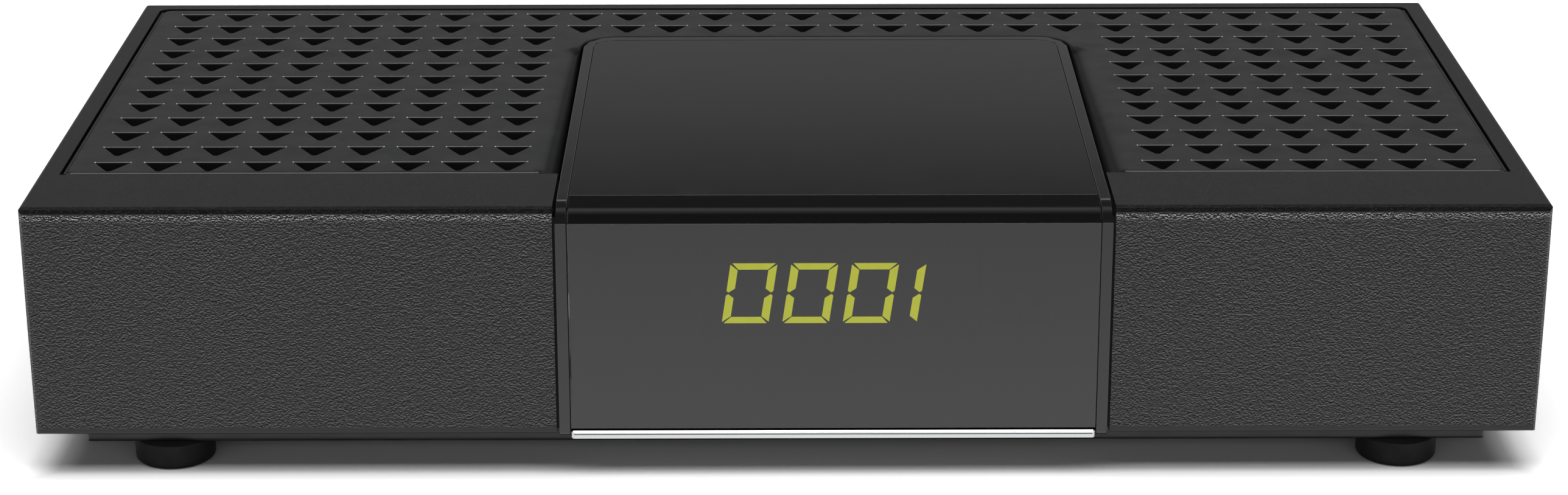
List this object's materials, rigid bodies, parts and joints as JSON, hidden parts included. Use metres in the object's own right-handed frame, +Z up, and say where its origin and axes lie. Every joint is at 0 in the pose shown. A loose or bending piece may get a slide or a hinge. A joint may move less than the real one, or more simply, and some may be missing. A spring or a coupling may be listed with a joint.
{
  "type": "satellite tv receiver",
  "caption": "Low black receiver box with a top grille of small triangular holes, a glossy cover bent over the front, a digit display, rubber feet and rear sockets.",
  "frame": {"origin": "middle of the whole part's bounding box, on the surface that it stands on", "axes": "+X to the right of someone facing the display, +Y to the rear where the sockets are, +Z up"},
  "size_m": [0.168, 0.0942, 0.0317],
  "materials": {
    "housing_plastic": "fine moulded grain",
    "grille_plastic": "satin",
    "gloss_plastic": "polished",
    "smoked_acrylic": "polished, lets the display shine through",
    "bright_plating": "bright",
    "tray_plastic": "matte",
    "panel_plastic": "matte",
    "foot_rubber": "matte",
    "nickel": "nickel plated brass",
    "tin_plate": "tinned sheet",
    "zinc_steel": "zinc plated",
    "fin_aluminium": "extruded",
    "board_laminate": "solder mask over glass laminate",
    "socket_plastic": "moulded",
    "chip_resin": "moulded resin",
    "can_sleeve": "shrunk sleeve",
    "ferrite": "pressed",
    "display_case": "moulded",
    "light_bars": "clear resin, lit"
  },
  "bodies": {
    "receiver": {"housing_shell": "housing_plastic", "grille_insert": "grille_plastic", "centre_bezel": "gloss_plastic", "display_window": "smoked_acrylic", "chrome_trim": "bright_plating", "base_tray": "tray_plastic", "rear_panel": "panel_plastic", "foot_front_left": "foot_rubber", "foot_front_right": "foot_rubber", "foot_rear_left": "foot_rubber", "foot_rear_right": "foot_rubber", "case_screw_1": "zinc_steel", "case_screw_2": "zinc_steel", "case_screw_3": "zinc_steel", "case_screw_4": "zinc_steel", "board_screw_1": "zinc_steel", "board_screw_2": "zinc_steel", "board_screw_3": "zinc_steel", "board_screw_4": "zinc_steel", "main_board": "board_laminate", "tuner_can": "tin_plate", "f_connector": "nickel", "f_connector_nut": "nickel", "audio_socket": "socket_plastic", "scart_socket": "socket_plastic", "hdmi_socket": "tin_plate", "usb_socket": "tin_plate", "power_inlet": "socket_plastic", "power_switch_body": "socket_plastic", "display_board": "board_laminate", "display_header": "socket_plastic", "led_display_case": "display_case", "led_segments": "light_bars", "ir_receiver": "chip_resin", "processor": "chip_resin", "heat_sink": "fin_aluminium", "memory_chip": "chip_resin", "flash_chip": "chip_resin", "crystal": "tin_plate", "capacitor_1": "can_sleeve", "capacitor_2": "can_sleeve", "capacitor_3": "can_sleeve", "power_coil_1": "ferrite", "power_coil_2": "ferrite"},
    "rocker": {"power_rocker": "socket_plastic"}
  },
  "joints": [
    {"name": "power_switch_rock", "type": "hinge", "parent": "receiver", "child": "rocker", "pos_m": [-0.0725, 0.0365, 0.0167], "axis": [-1, 0, 0], "range_deg": [0, 18]}
  ]
}
